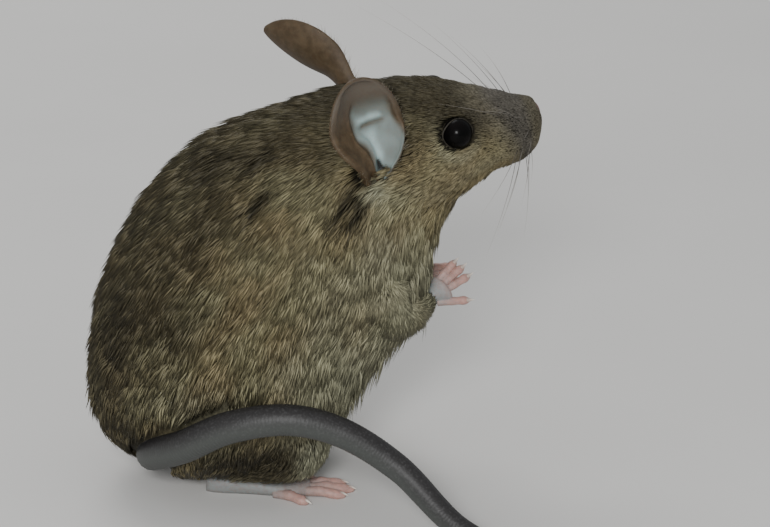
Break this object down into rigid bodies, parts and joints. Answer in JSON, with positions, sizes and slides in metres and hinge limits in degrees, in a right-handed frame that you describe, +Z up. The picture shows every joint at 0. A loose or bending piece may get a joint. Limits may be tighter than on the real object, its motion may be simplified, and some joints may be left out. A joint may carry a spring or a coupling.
{
  "type": "house mouse",
  "caption": "Life-size still model of a house mouse sitting up on its haunches, forepaws raised and tail curled round one side.",
  "frame": {"origin": "middle of the model's box, on the floor that the feet stand on", "axes": "+X forward, the way the nose points; +Y the animal's left; +Z up"},
  "size_m": [0.0644, 0.053, 0.053],
  "materials": {
    "coat": "short dense agouti fur, yellow-brown over grey, paler and greyer below",
    "bare_skin": "thin pink-grey skin with fine folds and sparse short hairs",
    "ear_skin": "thin brown skin, blue-white inside the cup",
    "tail_skin": "grey ringed scales, dark above and paler below",
    "eye": "wet black gloss",
    "claw": "pale translucent horn",
    "whisker": "fine dark tapering hairs"
  },
  "bodies": {
    "root": {"trunk": "coat", "neck": "coat", "head": "coat", "nose": "bare_skin", "eye_right": "eye", "eye_left": "eye", "ear_right": "ear_skin", "ear_left": "ear_skin", "foreleg_right": "coat", "foreleg_left": "coat", "forepaw_right": "bare_skin", "forepaw_left": "bare_skin", "hind_leg_right": "coat", "hind_leg_left": "coat", "hind_foot_right": "bare_skin", "hind_foot_left": "bare_skin", "tail_root": "tail_skin", "tail_bend": "tail_skin", "tail_arch": "tail_skin", "tail_slope": "tail_skin", "tail_middle": "tail_skin", "tail_tip": "tail_skin"}
  },
  "joints": []
}
